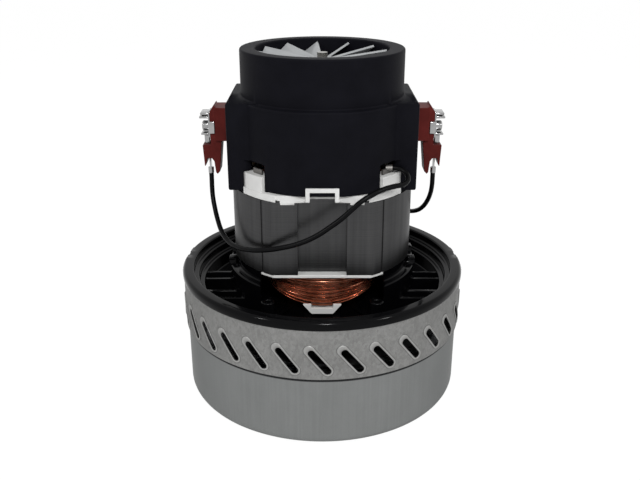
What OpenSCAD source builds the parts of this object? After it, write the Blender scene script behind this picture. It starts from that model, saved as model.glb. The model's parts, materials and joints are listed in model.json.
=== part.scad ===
// Two-stage bypass vacuum motor: a fan case below, a universal motor above it.
// Millimetres, +Z up, origin at the centre of the can's underside. The front is -Y.

/* [Fan case] */
// Outer radius of the lower can
can_r = 70.5; // [69:0.5:74]
// Height of the lower can
can_h = 39; // [37:0.5:42]
// Thickness of the sheet metal
sheet_t = 0.9; // [0.7:0.1:1.2]
// Radius of the can's rounded bottom edge
can_corner = 5; // [3:0.5:7]
// Radius of the inlet eye in the can's bottom
eye_r = 18.2; // [15:0.2:20]
// Height of the lip turned in around the inlet eye
eye_lip = 4.6; // [3:0.2:5.4]

/* [Slotted ring] */
// Height of the ring
ring_h = 24.75; // [22:0.25:28]
// How far the ring laps over the can
ring_lap = 2.4; // [1.5:0.1:3]
// Number of exhaust slots
slot_count = 30; // [20:1:32]
// Length of a slot from tip to tip
slot_len = 14.9; // [10:0.1:16]
// Width of a slot
slot_w = 3.4; // [2:0.1:4]
// Lean of a slot from upright
slot_lean = 39; // [20:1:50]
// Height of the slots' middle above the ring's lower edge
slot_rise = 9.1; // [8.5:0.1:11]
// Width of the raised border around a slot
border_w = 1.3; // [0.5:0.1:1.4]
// Extra length of the border past a slot's upper end
border_hood = 1.6; // [0:0.1:2]
// Height of the raised border
border_rise = 0.5; // [0.3:0.1:0.8]

/* [Impellers] */
// Space between the impellers and the can's wall
imp_gap = 7.6; // [6:0.2:12]
// Height of an impeller over its two discs
imp_h = 11.3; // [10:0.1:12]
// Thickness of an impeller disc
disc_t = 0.8; // [0.6:0.1:1]
// Number of vanes in an impeller
vane_count = 7; // [5:1:9]
// Radius of a vane's curve
vane_bend = 36; // [33:1:48]
// Height of the return guide between the impellers
guide_h = 7; // [5:0.5:8]

/* [Bracket] */
// Height of the rim above the slotted ring
rim_h = 4.35; // [3.5:0.05:6]
// Width of the rim's flat top and lip together
rim_w = 5.8; // [5:0.1:6.5]
// Depth of the dish below the rim
dish_depth = 15.7; // [14:0.1:17]
// Wall of the bracket
bracket_wall = 2.5; // [2:0.1:2.8]
// Width of one terrace inside the dish
terrace_w = 2.6; // [2:0.1:3]
// Height of the motor's seat above the rim
seat_rise = 7.7; // [6.5:0.1:10]
// Half width of the gap in the seat, front and back
seat_gap_x = 29.5; // [28:0.5:31]

/* [Stator] */
// Radius of the core's rounded corners
core_r = 45; // [43:0.1:47]
// Depth of the flats cut on its left and right
side_cut = 1.5; // [1:0.1:2]
// Depth of the flats cut on its front and back
front_cut = 6.7; // [5:0.1:7]
// Thickness of the core outside the windings
yoke_t = 9.4; // [8.4:0.1:10.4]
// Room for the windings, from the core down to the rotor's bore
coil_room = 11.1; // [10.6:0.1:11.6]
// Height of the core
core_h = 36.6; // [32:0.1:40]
// Width of the recess in the front and back flats
recess_w = 23; // [18:0.5:26]
// Depth of that recess
recess_d = 4.3; // [3:0.1:5]
// Height of the upper insulator's flange
flange_h = 3.4; // [2.6:0.1:4.4]

/* [Field coils] */
// Diameter of the wire in the outer layer
wire_d = 0.9; // [0.7:0.1:1]
// Spacing of the loops in the outer layer
wire_pitch = 1.5; // [1.5:0.05:1.6]
// Loops in the outer layer
loop_count = 8; // [5:1:8]

/* [Upper housing] */
// How far the core stands out below the housing's body
body_ledge = 2.3; // [1.6:0.1:2.8]
// Height of the lower body
body_h = 38.6; // [37:0.1:42]
// Width of the step between the body and the neck
neck_step = 3.6; // [2.7:0.1:4.6]
// Height of the neck
neck_h = 22.2; // [21:0.1:26]
// Width of the neck's top around the air mouth
mouth_rim = 7.4; // [6.8:0.1:8.6]
// Wall of the housing
house_wall = 2.5; // [2.2:0.1:2.8]
// How far a brush box stands out past the core's flats
box_out = 0.7; // [0.5:0.1:2.5]
// Depth of a brush box, front to back
box_w = 50; // [44:0.5:52]

/* [Brush gear] */
// Depth of the brushes' axis below the housing's step
brush_drop = 13.6; // [12.2:0.1:15]
// Width of a brush
brush_w = 6.5; // [5:0.1:7]
// Height of a brush
brush_h = 11; // [9:0.1:11]
// Length of a brush
brush_l = 20; // [14:0.5:22]

/* [Rotor] */
// Radius of the shaft at the impellers and the lower bearing
shaft_r = 4; // [3.5:0.1:4.2]
// Radius of the shaft at the upper bearing
top_shaft_r = 3.5; // [3.2:0.1:3.8]
// Radius of the shaft's end in the fan
stub_r = 2.5; // [2:0.1:2.8]
// Radius of the commutator
comm_r = 14; // [13:0.1:15]
// Gap between the cooling fan and the air mouth
fan_gap = 0.9; // [0.7:0.1:3]
// Number of fan blades
blade_count = 12; // [8:1:12]
// Pitch of a fan blade from level
blade_pitch = 35; // [28:1:38]
// Thickness of a fan blade
blade_t = 1; // [0.8:0.1:1.2]
// Outer radius of the lower bearing
low_brg_r = 11; // [10.5:0.1:11.5]
// Outer radius of the upper bearing
top_brg_r = 9.5; // [9:0.1:10]

/* [Leads] */
// Diameter of a lead
lead_d = 2.2; // [1.8:0.1:2.4]

/* [Clearances] */
// Gap between parts that are pressed or clamped together
seat_fit = 0.05; // [0.02:0.01:0.1]
// Gap around parts that drop into place
drop_fit = 0.15; // [0.1:0.05:0.25]
// Gap beside turning parts
run_gap = 1.3; // [1.2:0.1:1.5]
// Gap between the armature and the poles
air_gap = 0.6; // [0.5:0.1:0.8]
// Gap between a brush and its tube, and between balls and races
slide_fit = 0.1; // [0.05:0.01:0.15]
// Gap between a brush and the commutator
rub_gap = 0.3; // [0.2:0.05:0.4]

/* [Hidden] */
$fn = 96;
eps = 0.2;

// Heights of the fan case and bracket
ring_z = can_h - ring_lap;
ring_top = ring_z + ring_h;
rim_top = ring_top + rim_h;
floor_z = rim_top - dish_depth;
under_z = floor_z - bracket_wall;
core_z = rim_top + seat_rise;
core_top = core_z + core_h;
house_z = core_top + flange_h;
step_z = house_z + body_h;
house_top = step_z + neck_h;
brush_z = step_z - brush_drop;

// Radii of the fan case
can_in_r = can_r - sheet_t;
ring_in_r = can_r + seat_fit;
ring_out_r = ring_in_r + sheet_t;
lip_r = ring_out_r + border_rise;
imp_eye_r = eye_r + sheet_t + run_gap;
imp_r = can_in_r - imp_gap;
guide_r = imp_r + 1;

// Stack of impellers on the shaft
washer_t = run_gap * 0.6;
washer_r = 11;
imp1_z = sheet_t + 2 * run_gap;
hub1_z = imp1_z + imp_h - disc_t;
guide_z = imp1_z + imp_h + run_gap;
imp2_z = guide_z + guide_h + run_gap;
hub2_z = imp2_z + imp_h - disc_t;
diff_z = imp2_z + imp_h + 2 * run_gap;
diff_t = 1.2;
nut_h = 4.6;
nut_z = hub1_z - washer_t - nut_h;
shaft_end_z = nut_z - 1;
sleeve_r = shaft_r + 2.2;
sleeve_hole_r = sleeve_r + 0.8;

// Dish terraces, from the rim inwards
spigot_r = ring_in_r - drop_fit;
spigot_h = 5.8;
rim_in_r = lip_r - rim_w;
terrace_r = rim_in_r - terrace_w;
dish_r = terrace_r - terrace_w;
terrace_z = rim_top - 4.2;
lower_terrace_z = terrace_z - 4.4;
notch_depth = 1.1;
notch_angle = 8;

// Half widths of the stator core across its flats
core_x = core_r - side_cut;
core_y = core_r - front_cut;

// Seat of the motor and its bolts
seat_r = core_r + 2.5;
seat_drop = 6;
lug_w = 4;
lug_h = 3.4;
lug_y = 8;
seat_in_r = core_x - 1.5;
rib_top = lower_terrace_z - 0.9;
rib_gap = 4;
rib_pairs = [0, -23];
rib_t = 2;
bolt_r = 2;
bolt_boss_r = 5;
bolt_head_r = 3.6;
bolt_head_h = 3;
bolt_grip = 10;

// Lower bearing, its hub and its seal
low_brg_w = 7;
hub_r = low_brg_r + 5;
hub_z = under_z - 4;
seal_h = 2.5;
seal_r = 10;
shoulder_t = 2;
low_brg_z = hub_z + seal_h + shoulder_t;
low_brg_top = low_brg_z + low_brg_w;
retainer_t = 1.2;
retainer_r = hub_r - 0.5;
retainer_screw_x = (low_brg_r + hub_r) / 2;
small_screw_r = 1.2;
boss_r = 3.6;
boss_ring_r = 40;
side_boss_r = 3.4;
side_boss_x = seat_gap_x - side_boss_r - 0.1;
side_boss_y = core_r - 4;
side_boss_top = core_z - 12;

// Stator core, windows and coil surface
window_r = core_r - yoke_t;
bore_r = window_r - coil_room;
arm_r = bore_r - air_gap;
horn_t = 2;
window_in_r = bore_r + horn_t;
window_gap = 0.65;
coil_r = window_r - wire_d / 2 - window_gap;
window_angle = 46;
groove_angle = 51;
groove_w = 0.8;
bolt_x = (window_r + core_x) / 2;
plate_t = 1.5;
plate_z = core_z - plate_t;
former_r = bore_r + 0.4;
former_t = 1.6;
plug_gap = core_y - recess_d;

// Field coil loops, unrolled on the coil surface
leg_angle = 46.5;
loop_half_w = coil_r * leg_angle * PI / 180;
loop_corner = 3;
loop_reach = 3.2;
top_reach = flange_h + 0.8;
loop_sag = 4.2;
loop_flat = loop_half_w - loop_corner;
loop_widest = loop_half_w + wire_pitch * loop_count;
coil_mid_z = core_z + core_h / 2;
coil_wall_r = coil_r + 2.5;
coil_wall_t = 1.6;
deg_per_mm = 180 / (PI * coil_r);

// Outside of the housing
body_r = core_r - body_ledge;
neck_r = body_r - neck_step;
mouth_r = neck_r - mouth_rim;
box_x = core_x + box_out;

// Upper insulator towers and frames
tower_r = core_r - 0.5;
tower_in_r = window_r + 1;
tower_gap = 0.15;
tower_from = asin((box_w / 2 + tower_gap) / tower_r);
tower_to = 51.5;
tower_top = house_z + 7.2;
tower_mid = (tower_from + tower_to) / 2;
pocket_r = (tower_r + tower_in_r) / 2;
flange_y = core_y + 1;
flange_r = core_r - 0.2;
frame_x = 7.6;
frame_wall = 1.9;
frame_top = house_z + 4.5;
frame_t = 1.4;
frame_low = core_top + 1.4;

// Upper bearing and its hub
top_brg_w = 6;
top_brg_z = step_z - 3;
top_brg_top = top_brg_z + top_brg_w;
wave_t = 0.8;
top_hub_r = top_brg_r + 4.5;
top_hub_z = top_brg_z - 0.5;
top_hub_top = top_brg_top + wave_t + 1.5;
arm_w = 7;
body_in_r = body_r - house_wall;
neck_in_r = neck_r - house_wall;
shroud_t = 2;
flat_y = sqrt(pow(body_r, 2) - pow(9.5, 2));
frame_y = flat_y + drop_fit;
skirt_h = 1.9;
tower_hole_top = house_z + 12.6;

// Shaft and what sits on it
mid_shaft_r = shaft_r + 1.5;
fan_z = top_hub_top + run_gap;
fan_top = house_top - 1.6;
fan_r = mouth_r - fan_gap;
fan_hub_top = fan_top - 3.6;
fan_hub_r = 14;
blade_chord = 14.5;
blade_tilt = 8;
shaft_top = fan_hub_top + 2.7;
comm_z = brush_z - brush_h / 2 - 3.5;
comm_top = brush_z + brush_h / 2 + 2.5;
riser_t = 2;
end_turn_r = arm_r - 2.6;
end_turn_h = 13;

// Brush gear, measured from a box's face and the brush axis
tube_t = 0.7;
tube_y = brush_w / 2 + slide_fit + tube_t;
tube_h = brush_h / 2 + slide_fit + tube_t;
holder_y = 6.75;
plug_y = 6.4;
plug_h = 7.7;
block_l = 7.3;
holder_l = 10;
plate_y = 5;
brush_x = comm_r + rub_gap;
brush_back = brush_x + brush_l;
tube_from = comm_r + 3.5;
tube_to = box_x + 8;
holder_end = box_x + holder_l;
clip_t = 0.8;
blade_x = holder_end + clip_t;
blade_w = 3;
barrel_r = 1.4;
barrel_z = brush_z - 25.9;
barrel_h = 3;
spring_r = 2.4;
spring_wire = 0.6;
spring_curls = 7;

// Terminals in the towers
terminal_t = 0.8;
terminal_w = 6.3;
pocket_floor = house_z + 0.3;
terminal_top = tower_top + 2.2;
crimp_r = 1.6;
crimp_l = 3;

// Route of the left lead, from its terminal round the front to the right tower
lead_route = [
    [-55.4, 0, 112.5], [-55.4, 0, 109.5], [-55.4, -0.5, 105.5], [-55, -2.2, 100.5],
    [-53.9, -5, 95.5], [-52.3, -9, 91], [-50, -14.5, 87.2], [-46.5, -21, 84.6],
    [-41.5, -28, 84], [-35, -34.5, 85], [-28, -39.5, 86.8], [-19.5, -43.5, 89.5],
    [-10, -46, 93], [-2.5, -47, 97], [3.5, -47, 101.2], [8.5, -46.8, 105],
    [13, -46.2, 109], [17.5, -45.4, 112.8], [22.5, -43.8, 115.5], [27.6, -41.2, 117.1],
    [32.4, -38.4, 117.6], [37.7, -34.8, 117.8], [39.4, -31.4, 119.6], [37.6, -28, 121.8],
    [33.6, -26.4, 122.7], [32.4, -26.4, 122.7]
];

// Colours as the object shows them
zinc = [0.6, 0.6, 0.58];
black_plastic = [0.11, 0.11, 0.12];
white_plastic = [0.85, 0.85, 0.84];
red_plastic = [0.3, 0.1, 0.09];
copper = [0.5, 0.22, 0.1];
tin = [0.75, 0.75, 0.74];
steel = [0.55, 0.55, 0.56];
lamination = [0.33, 0.33, 0.34];

// Plain ring standing on z = 0
module ring(outer, inner, h) {
    difference() {
        cylinder(r = outer, h = h);
        translate([0, 0, -1]) cylinder(r = inner, h = h + 2);
    }
}

// Part of a ring between two angles
module arc_block(inner, outer, from, to, h) {
    rotate([0, 0, from])
        rotate_extrude(angle = to - from)
            translate([inner, 0]) square([outer - inner, h]);
}

module cup_outline(r, h, corner) {
    square([r - corner, h]);
    translate([0, corner]) square([r, h - corner]);
    translate([r - corner, corner]) circle(r = corner);
}

module slot_outline(len, w) {
    square([w, len - w], center = true);
    for (end = [-1, 1]) translate([0, end * (len - w) / 2]) circle(d = w);
}

// Puts a flat outline on the ring's wall, seen from outside, as a radial bar
module wall_slots(len, w, up) {
    for (i = [0 : slot_count - 1])
        rotate([0, 0, i * 360 / slot_count - 1])
            translate([0, 0, ring_z + slot_rise])
                rotate([90, 0, 0])
                    translate([0, 0, can_in_r - 2])
                        linear_extrude(6)
                            rotate(slot_lean) translate([0, up]) slot_outline(len, w);
}

// Curved vane outlines between two radii, hand is 1 or -1
module vanes(count, inner, outer, hand) {
    for (i = [0 : count - 1]) rotate(i * 360 / count)
        intersection() {
            translate([vane_bend, 0]) difference() {
                circle(r = vane_bend + disc_t / 2);
                circle(r = vane_bend - disc_t / 2);
            }
            translate([0, hand > 0 ? 0 : -outer]) square(outer);
            difference() {
                circle(r = outer);
                circle(r = inner);
            }
        }
}

// Tube swept along points, as one closed body of triangles
function unit(v) = v / norm(v);
function square_to(v, t) = unit(v - (v * t) * t);
function tangents(p) = [for (i = [0 : len(p) - 1])
    i == 0 ? unit(p[1] - p[0]) :
    i == len(p) - 1 ? unit(p[i] - p[i - 1]) :
    unit(unit(p[i + 1] - p[i]) + unit(p[i] - p[i - 1]))];
function carried(t, n, i) = i == len(t) ? [] :
    let (m = square_to(n, t[i])) concat([m], carried(t, m, i + 1));

module swept_tube(p, r, sides, first) {
    t = tangents(p);
    n = carried(t, first, 0);
    last = (len(p) - 1) * sides;
    points = [for (i = [0 : len(p) - 1], j = [0 : sides - 1])
        let (b = cross(t[i], n[i]), a = 360 * j / sides)
        p[i] + r * (cos(a) * n[i] + sin(a) * b)];
    walls = [for (i = [0 : len(p) - 2], j = [0 : sides - 1], half = [0, 1])
        let (k = i * sides, j2 = (j + 1) % sides)
        half == 0 ? [k + j, k + j2, k + sides + j2] : [k + j, k + sides + j2, k + sides + j]];
    start_cap = [for (j = [1 : sides - 2]) [0, j + 1, j]];
    end_cap = [for (j = [1 : sides - 2]) [last, last + j, last + j + 1]];
    polyhedron(points = points, faces = [for (f = concat(walls, start_cap, end_cap)) [f[0], f[2], f[1]]]);
}

// Least space between the windings of a tube, from points more than a few steps apart
function least_gap(p, d, apart) = min([for (i = [0 : len(p) - 1 - apart])
    min([for (j = [i + apart : len(p) - 1]) norm(p[i] - p[j])])]) - d;

// Field coil: one end of a loop, unrolled, for a step s out from the innermost loop
function sagged(u) = loop_sag * (1 - pow(u / loop_widest, 2));
function end_point(s, part, side) =
    let (reach = side > 0 ? top_reach : loop_reach)
    let (corner = loop_corner + s, base = core_h / 2 + reach - loop_corner)
    part < 4 ? [side * (loop_flat + corner * cos(part * 30)), base + corner * sin(part * 30)] :
    part < 7 ? [side * loop_flat * (5 - part) / 2, base + corner] :
    [-side * (loop_flat + corner * cos((10 - part) * 30)), base + corner * sin((10 - part) * 30)];
function hung(q, way) = [q[0], way * (q[1] + sagged(q[0]))];
function rolled(q, r) = let (a = q[0] * deg_per_mm - 90) [r * cos(a), r * sin(a), coil_mid_z + q[1]];
function loop_points(k) = let (s = k * wire_pitch) concat(
    [rolled([-loop_half_w - s, 0], coil_r)],
    [for (part = [0 : 10]) rolled(hung(end_point(s, part, -1), -1), coil_r)],
    [rolled([loop_half_w + s, 0], coil_r)],
    [for (part = [0 : 10]) rolled(hung(end_point(s + wire_pitch * part / 10, part, 1), 1), coil_r)]);

// Both wire ends turn outwards at the top and stop square on the former's outer wall
coil_end_r = coil_wall_r - seat_fit;
first_turn = [for (part = [6 : 10]) hung(end_point(wire_pitch * (part / 10 - 1), part, 1), 1)];
last_turn = [for (part = [0 : 4]) hung(end_point(wire_pitch * (loop_count - 1 + part / 10), part, 1), 1)];
start_u = first_turn[0][0] + 4;
stop_u = last_turn[4][0] - 4;
function end_run(u, v) = [
    rolled([u, v], coil_end_r), rolled([u, v], coil_end_r - wire_d), rolled([u, v], coil_r + 0.5)];
start_run = end_run(start_u, first_turn[0][1]);
stop_run = end_run(stop_u, last_turn[4][1]);
whole_loops = [for (k = [0 : loop_count - 1], q = loop_points(k)) q];
coil_points = concat(
    start_run,
    [rolled([start_u - 0.8, first_turn[0][1]], coil_r)],
    [for (q = first_turn) rolled(q, coil_r)],
    [for (i = [0 : len(whole_loops) - 12]) whole_loops[i]],
    [for (q = last_turn) rolled(q, coil_r)],
    [rolled([stop_u + 0.8, last_turn[4][1]], coil_r)],
    [for (i = [2 : -1 : 0]) stop_run[i]]);
echo(field_coil_least_gap = least_gap(coil_points, wire_d, 8));

// Brush spring: curls along X with a straight run at each end
spring_from = brush_back;
spring_to = holder_end;
spring_step = (spring_to - spring_from - 2 * spring_wire) / (spring_curls * 8);
spring_points = concat(
    [[spring_from, spring_r, brush_z]],
    [for (i = [0 : spring_curls * 8])
        let (a = i * 45)
        [spring_from + spring_wire + i * spring_step, spring_r * cos(a), brush_z + spring_r * sin(a)]],
    [[spring_to, spring_r, brush_z]]);
echo(brush_spring_least_gap = least_gap(spring_points, spring_wire, 5));

module lower_can() color(zinc) {
    rotate_extrude() difference() {
        cup_outline(can_r, can_h, can_corner);
        translate([0, sheet_t]) cup_outline(can_in_r, can_h, can_corner - sheet_t);
        square([eye_r, can_h]);
    }
    ring(eye_r + sheet_t, eye_r, eye_lip);
}

module slotted_ring() color(zinc) difference() {
    union() {
        translate([0, 0, ring_z]) ring(ring_out_r, ring_in_r, ring_h);
        intersection() {
            translate([0, 0, ring_z]) ring(lip_r, ring_in_r + sheet_t / 2, ring_h);
            wall_slots(slot_len + 2 * border_w + border_hood, slot_w + 2 * border_w, border_hood / 2);
        }
    }
    wall_slots(slot_len, slot_w, 0);
}

module impeller() color("silver") {
    ring(imp_r, imp_eye_r, disc_t);
    translate([0, 0, imp_h - disc_t]) ring(imp_r, shaft_r + seat_fit, disc_t);
    translate([0, 0, disc_t / 2]) linear_extrude(imp_h - disc_t)
        vanes(vane_count, imp_eye_r + 2, imp_r - 0.8, -1);
}

module return_guide() color("silver") translate([0, 0, guide_z]) {
    collar_r = can_in_r - seat_fit;
    ring(guide_r, sleeve_hole_r, disc_t);
    translate([0, 0, guide_h - disc_t]) ring(collar_r, imp_eye_r, disc_t);
    ring(collar_r, collar_r - disc_t, guide_h);
    translate([0, 0, disc_t / 2]) linear_extrude(guide_h - disc_t)
        vanes(vane_count + 4, imp_eye_r + 2, guide_r - 0.8, 1);
}

module at_diffuser_screws() {
    for (a = [90, 210, 330]) rotate([0, 0, a]) translate([boss_ring_r, 0, 0]) children();
}

module diffuser_plate() color("silver") translate([0, 0, diff_z]) difference() {
    ring(guide_r, sleeve_hole_r, diff_t);
    at_diffuser_screws() translate([0, 0, -1]) cylinder(r = small_screw_r + drop_fit, h = diff_t + 2);
}

module diffuser_screws() color(steel) at_diffuser_screws() {
    translate([0, 0, diff_z - run_gap]) cylinder(r = 2 * small_screw_r, h = run_gap);
    translate([0, 0, diff_z - eps]) cylinder(r = small_screw_r, h = diff_t + eps + 6);
}

module bracket_outline() {
    polygon([
        [sleeve_hole_r, under_z], [dish_r + bracket_wall, under_z],
        [dish_r + bracket_wall, lower_terrace_z - bracket_wall],
        [terrace_r + bracket_wall, lower_terrace_z - bracket_wall],
        [terrace_r + bracket_wall, terrace_z - bracket_wall],
        [spigot_r - bracket_wall, terrace_z - bracket_wall],
        [spigot_r - bracket_wall, ring_top - spigot_h], [spigot_r, ring_top - spigot_h],
        [spigot_r, ring_top], [lip_r, ring_top], [lip_r, rim_top - 1.6], [lip_r - 0.9, rim_top],
        [rim_in_r, rim_top], [rim_in_r, terrace_z], [terrace_r, terrace_z],
        [terrace_r, lower_terrace_z], [dish_r, lower_terrace_z], [dish_r, floor_z],
        [sleeve_hole_r, floor_z]
    ]);
}

module at_bolts() {
    for (side = [-1, 1]) translate([side * bolt_x, 0, 0]) children();
}

module at_retainer_screws() {
    for (side = [-1, 1]) translate([0, side * retainer_screw_x, 0]) children();
}

// Two side walls that carry the core, open front and back
module motor_seat() {
    difference() {
        union() {
            translate([0, 0, floor_z - eps]) ring(core_r - 1, seat_in_r, core_z - floor_z + eps);
            translate([0, 0, floor_z - eps]) ring(seat_r, seat_in_r, core_z - seat_drop - floor_z + eps);
            for (side = [-1, 1], y = [-lug_y, lug_y])
                translate([side * (core_r + 0.4) - lug_w / 2, y - lug_w / 2, core_z - seat_drop - eps])
                    cube([lug_w, lug_w, lug_h]);
        }
        translate([-seat_gap_x, -seat_r - 1, floor_z - 1]) cube([2 * seat_gap_x, 2 * seat_r + 2, core_z]);
    }
    at_bolts() translate([0, 0, under_z]) cylinder(r = bolt_boss_r, h = core_z - under_z);
    for (x = [-1, 1], y = [-1, 1]) translate([x * side_boss_x, y * side_boss_y, floor_z - eps])
        ring(side_boss_r, small_screw_r, side_boss_top - floor_z + eps);
    for (side = [0, 180]) rotate([0, 0, side])
        translate([hub_r - eps, -rib_t / 2, floor_z - eps])
            cube([bolt_x - hub_r, rib_t, rib_top - floor_z + eps]);
}

// Pairs of ribs from the seat out to the dish wall on both sides
module dish_ribs() {
    intersection() {
        for (middle = rib_pairs, side = [-1, 1])
            translate([-dish_r - 1, middle + side * rib_gap - rib_t / 2, floor_z - eps])
                cube([2 * dish_r + 2, rib_t, rib_top - floor_z + eps]);
        translate([0, 0, floor_z - 1]) ring(dish_r + bracket_wall / 2, seat_r - 1, dish_depth);
    }
}

module fan_end_bracket() color(black_plastic) difference() {
    union() {
        rotate_extrude() bracket_outline();
        translate([0, 0, hub_z]) cylinder(r = hub_r, h = low_brg_top - hub_z);
        motor_seat();
        dish_ribs();
        at_diffuser_screws() translate([0, 0, diff_z + diff_t])
            cylinder(r = boss_r, h = under_z - diff_z - diff_t + eps);
    }
    translate([0, 0, hub_z - 1]) cylinder(r = seal_r + seat_fit, h = seal_h + 1);
    translate([0, 0, hub_z - 1]) cylinder(r = sleeve_hole_r, h = low_brg_top);
    translate([0, 0, low_brg_z]) cylinder(r = low_brg_r + seat_fit, h = low_brg_top);
    at_bolts() translate([0, 0, under_z - 1]) cylinder(r = bolt_r + drop_fit, h = core_z);
    at_retainer_screws() translate([0, 0, low_brg_z])
        cylinder(r = small_screw_r + seat_fit, h = low_brg_w + 1);
    at_diffuser_screws() translate([0, 0, diff_z]) cylinder(r = small_screw_r + seat_fit, h = diff_t + 6.5);
    for (from = [2, 178 - notch_angle]) translate([0, 0, ring_top - 1])
        arc_block(lip_r - notch_depth, lip_r + 2, from, from + notch_angle, rim_h + 2);
}

module core_outline(r, x, y) {
    intersection() {
        circle(r = r);
        square([2 * x, 2 * y], center = true);
    }
}

// Both windows beside the poles, open to the bore at the sides
module window_outline(inner, outer, angle) {
    for (side = [0, 180]) rotate(side)
        intersection() {
            difference() {
                circle(r = outer);
                circle(r = inner);
            }
            polygon([[0, 0], [outer * 2, -outer * 2 * tan(angle)], [outer * 2, outer * 2 * tan(angle)]]);
        }
}

module stator_core() color(lamination) translate([0, 0, core_z]) linear_extrude(core_h) difference() {
    core_outline(core_r, core_x, core_y);
    circle(r = bore_r);
    window_outline(window_in_r, window_r, window_angle);
    square([2 * window_in_r + 1, 14], center = true);
    for (side = [-1, 1]) {
        translate([side * bolt_x, 0]) circle(r = bolt_r + drop_fit);
        translate([0, side * core_y]) square([recess_w, 2 * recess_d], center = true);
        for (turn = [0, 180]) rotate(turn + side * groove_angle)
            translate([core_r, 0]) square([1, groove_w], center = true);
    }
}

// Poles' part of an insulator: what lies between the windows
module pole_outline(outer) {
    difference() {
        core_outline(outer, core_x, core_y);
        circle(r = former_r);
        window_outline(window_in_r - 0.4, core_r * 2, window_angle + 0.5);
    }
}

module lower_insulator() color(white_plastic) {
    lip_y = coil_r + wire_d / 2 + 2;
    lip_t = 1.4;
    lip_drop = 14;
    lip_h = 4.9;
    lip_half_w = 9.3;
    lip_top = plate_z - lip_drop;
    lip_floor = lip_top - lip_h;
    shelf_w = 10.4;
    translate([0, 0, plate_z]) linear_extrude(plate_t) {
        intersection() {
            pole_outline(core_r - 0.4);
            square([2 * (seat_gap_x - 2 * drop_fit), 2 * core_r], center = true);
        }
        difference() {
            circle(r = former_r + former_t - 0.2);
            circle(r = former_r);
        }
    }
    for (side = [0, 180]) rotate([0, 0, side]) {
        intersection() {
            translate([0, 0, lip_floor]) ring(former_r + former_t, former_r, plate_z - lip_floor + eps);
            translate([-9, -core_r, lip_floor - 1]) cube([18, core_r, core_z]);
        }
        translate([-shelf_w / 2, -lip_y - lip_t, lip_floor])
            cube([shelf_w, lip_y + lip_t - former_r - 0.5, lip_t]);
        translate([0, -lip_y, 0]) rotate([90, 0, 0]) linear_extrude(lip_t) difference() {
            polygon([
                [-shelf_w / 2, lip_floor], [shelf_w / 2, lip_floor],
                [lip_half_w, lip_top], [-lip_half_w, lip_top]]);
            translate([-shelf_w / 2, lip_top - 2.1]) square([shelf_w, 3]);
        }
    }
}

module at_towers() {
    for (a = [0, 180], flip = [0, 1]) rotate([0, 0, a]) mirror([0, flip, 0]) children();
}

// Flange under the housing, cut back beside the brush boxes
module flange_outline() {
    difference() {
        core_outline(flange_r, core_x - 0.1, flange_y);
        circle(r = former_r);
        window_outline(window_in_r - 0.4, window_r + 0.4, window_angle + 0.5);
        for (side = [-1, 1]) translate([side * bolt_x, 0]) circle(r = bolt_r + drop_fit);
        difference() {
            square([2 * core_r, box_w + 2 * drop_fit], center = true);
            circle(r = body_in_r - drop_fit);
        }
    }
}

module upper_insulator() color(white_plastic) {
    opening_x = frame_x - frame_wall;
    difference() {
        union() {
            translate([0, 0, core_top]) linear_extrude(flange_h) flange_outline();
            at_towers() translate([0, 0, core_top])
                arc_block(tower_in_r, tower_r, tower_from, tower_to, tower_top - core_top);
            for (side = [0, 180]) rotate([0, 0, side]) {
                translate([-frame_x, -frame_y - frame_t, frame_low])
                    cube([2 * frame_x, frame_y + frame_t - flange_y + 1, house_z - frame_low - drop_fit]);
                translate([-frame_x, -frame_y - frame_t, frame_low])
                    cube([2 * frame_x, frame_t, frame_top - frame_low]);
                for (x = [-1, 1]) translate([x * 16 - 3.2, -flange_y, core_top - 1])
                    cube([6.4, flange_y - core_y - drop_fit, 1 + eps]);
                translate([0, 0, core_top]) intersection() {
                    ring(coil_wall_r + coil_wall_t, coil_wall_r, flange_h + 17.6);
                    translate([-12, -core_r, 0]) cube([24, core_r, core_h]);
                }
                translate([0, 0, core_top]) intersection() {
                    ring(former_r + former_t, former_r, flange_h + 8);
                    translate([-14, -core_r, 0]) cube([28, core_r, core_h]);
                }
            }
        }
        at_towers() rotate([0, 0, tower_mid]) translate([pocket_r, 0, pocket_floor + 10])
            cube([terminal_t + 2 * drop_fit, terminal_w + 2 * drop_fit, 20], center = true);
        for (side = [0, 180]) rotate([0, 0, side]) {
            translate([-opening_x, -core_r - 1, core_top - 2])
                cube([2 * opening_x, core_r + 1 - plug_gap, frame_top - frame_wall - core_top + 2]);
            for (x = [-1, 1]) translate([x * 20.4 - 1, -flange_y - 1, core_top - 1])
                cube([2, 3, 2.2]);
        }
    }
}

module coil_core() {
    inner = former_r + former_t + 0.8;
    outer = coil_r - wire_d - loop_flat * loop_flat / (32 * coil_r) - 0.1;
    far = (loop_half_w + wire_pitch * (loop_count - 1)) * deg_per_mm;
    near = loop_half_w * deg_per_mm;
    end_h = wire_pitch * (loop_count - 1);
    low = core_z - loop_reach - end_h;
    high = core_top + top_reach + end_h;
    difference() {
        translate([0, 0, low]) arc_block(inner, outer, -90 - far, -90 + far, high - low);
        translate([0, 0, low + end_h])
            arc_block(inner - 1, outer + 1, -90 - near, -90 + near, high - low - 2 * end_h);
    }
    translate([0, 0, low - loop_sag * 0.8]) arc_block(inner + 0.3, outer - 0.3, -115, -65, loop_sag);
}

module field_coil() color(copper) {
    coil_core();
    swept_tube(coil_points, wire_d / 2, 6, [0, -1, 0]);
}

module field_coil_front() field_coil();
module field_coil_rear() rotate([0, 0, 180]) field_coil();

module motor_bolts() color(steel) at_bolts() {
    translate([0, 0, under_z - bolt_head_h]) cylinder(r = bolt_head_r, h = bolt_head_h);
    translate([0, 0, under_z - eps]) cylinder(r = bolt_r, h = house_z + bolt_grip - under_z + eps);
}

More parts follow.
